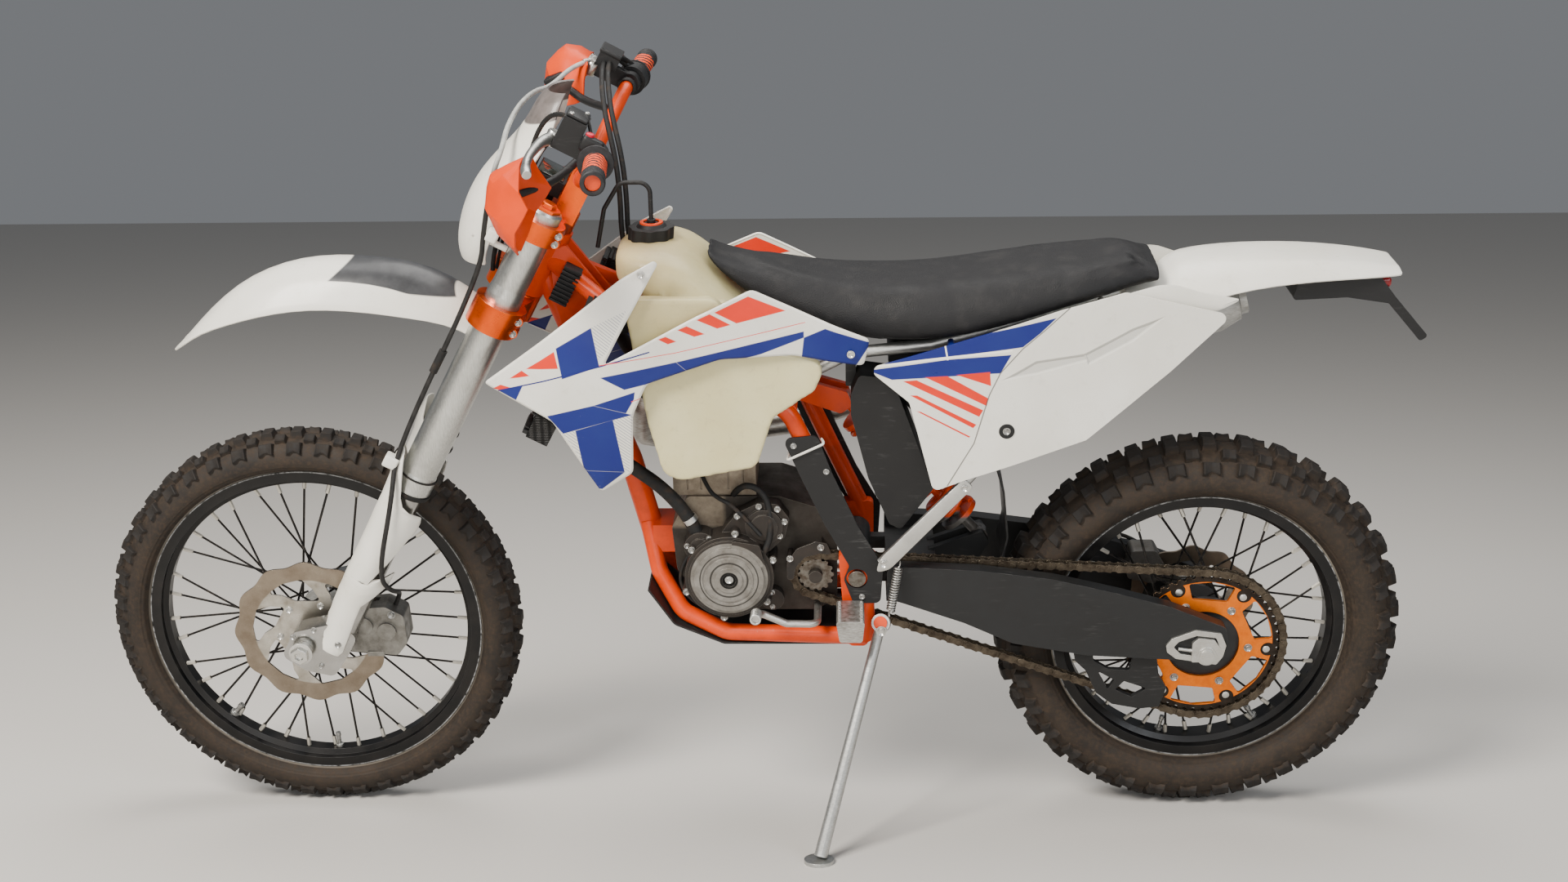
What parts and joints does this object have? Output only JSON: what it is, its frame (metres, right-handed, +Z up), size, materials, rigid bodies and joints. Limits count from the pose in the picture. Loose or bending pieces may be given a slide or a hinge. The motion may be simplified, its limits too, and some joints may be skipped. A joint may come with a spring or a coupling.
{
  "type": "enduro motorcycle",
  "caption": "Off-road motorcycle with spoked wheels, steering, turning wheels and a folding side stand, parked leaning on the stand.",
  "frame": {"origin": "centre of the bounding box at floor level, leaning on the side stand", "axes": "-X forwards, the longest way; +Y towards the right side; +Z up"},
  "size_m": [2.1689, 0.8048, 1.2987],
  "materials": {
    "tyre_rubber": "matt",
    "rim_black": "satin",
    "spoke_steel": "satin",
    "machined_aluminium": "satin",
    "brake_steel": "worn",
    "frame_orange": "satin",
    "body_white": "gloss",
    "guard_orange": "satin",
    "plastic_black": "scuffed",
    "tank_cream": "satin",
    "seat_cover": "grained",
    "rubber_black": "matt",
    "engine_cast": "worn",
    "silencer_aluminium": "satin",
    "caliper_grey": "worn",
    "radiator_metal": "matt",
    "lamp_clear": "clear",
    "spring_orange": "satin"
  },
  "bodies": {
    "chassis": {"airbox": "plastic_black", "brake_pedal": "machined_aluminium", "chain_guide": "plastic_black", "cylinder_head": "engine_cast", "drive_chain": "brake_steel", "engine_cases": "engine_cast", "engine_covers": "engine_cast", "exhaust_header": "brake_steel", "footpegs": "brake_steel", "frame_guards": "plastic_black", "front_sprocket": "brake_steel", "fuel_cap": "plastic_black", "fuel_tank": "tank_cream", "main_frame": "frame_orange", "plate_holder": "plastic_black", "radiator_shrouds": "body_white", "radiators": "radiator_metal", "rear_axle": "machined_aluminium", "rear_brake_caliper": "caliper_grey", "rear_fender": "body_white", "seat": "seat_cover", "shift_lever": "machined_aluminium", "shock_absorber": "spring_orange", "side_panels": "body_white", "silencer": "silencer_aluminium", "skid_plate": "plastic_black", "subframe": "machined_aluminium", "swingarm": "machined_aluminium", "swingarm_pivot": "brake_steel", "voltage_regulator": "plastic_black"},
    "steering": {"fork_outer_tubes": "machined_aluminium", "fork_inner_tubes": "machined_aluminium", "lower_triple_clamp": "frame_orange", "upper_triple_clamp": "frame_orange", "handlebar": "frame_orange", "grips": "rubber_black", "hand_guards": "guard_orange", "bar_controls": "plastic_black", "control_levers": "machined_aluminium", "headlight_mask": "body_white", "headlight": "lamp_clear", "front_fender": "body_white", "fork_guards": "body_white", "front_brake_caliper": "caliper_grey", "front_axle": "machined_aluminium", "front_brake_hose": "rubber_black"},
    "front_wheel": {"front_tyre": "tyre_rubber", "front_rim": "rim_black", "front_spokes": "spoke_steel", "front_hub": "machined_aluminium", "front_brake_disc": "brake_steel"},
    "rear_wheel": {"rear_tyre": "tyre_rubber", "rear_rim": "rim_black", "rear_spokes": "spoke_steel", "rear_hub": "machined_aluminium", "rear_brake_disc": "brake_steel", "rear_sprocket": "brake_steel"},
    "side_stand": {"side_stand": "machined_aluminium"}
  },
  "joints": [
    {"name": "steering", "type": "hinge", "parent": "chassis", "child": "steering", "pos_m": [-0.3187, 0.04774, 0.96559], "axis": [0.4726, -0.1877, 0.8611], "range_deg": [-45, 45]},
    {"name": "front_wheel_spin", "type": "hinge", "parent": "steering", "child": "front_wheel", "pos_m": [-0.736, 0.18378, 0.34165], "axis": [0, 0.977, 0.213], "continuous": true},
    {"name": "rear_wheel_spin", "type": "hinge", "parent": "chassis", "child": "rear_wheel", "pos_m": [0.746, 0.1858, 0.33238], "axis": [0, 0.977, 0.213], "continuous": true},
    {"name": "side_stand_fold", "type": "hinge", "parent": "chassis", "child": "side_stand", "pos_m": [0.217, 0.04721, 0.36716], "axis": [-0.1259, -0.9449, 0.3022], "range_deg": [0, 94]}
  ]
}
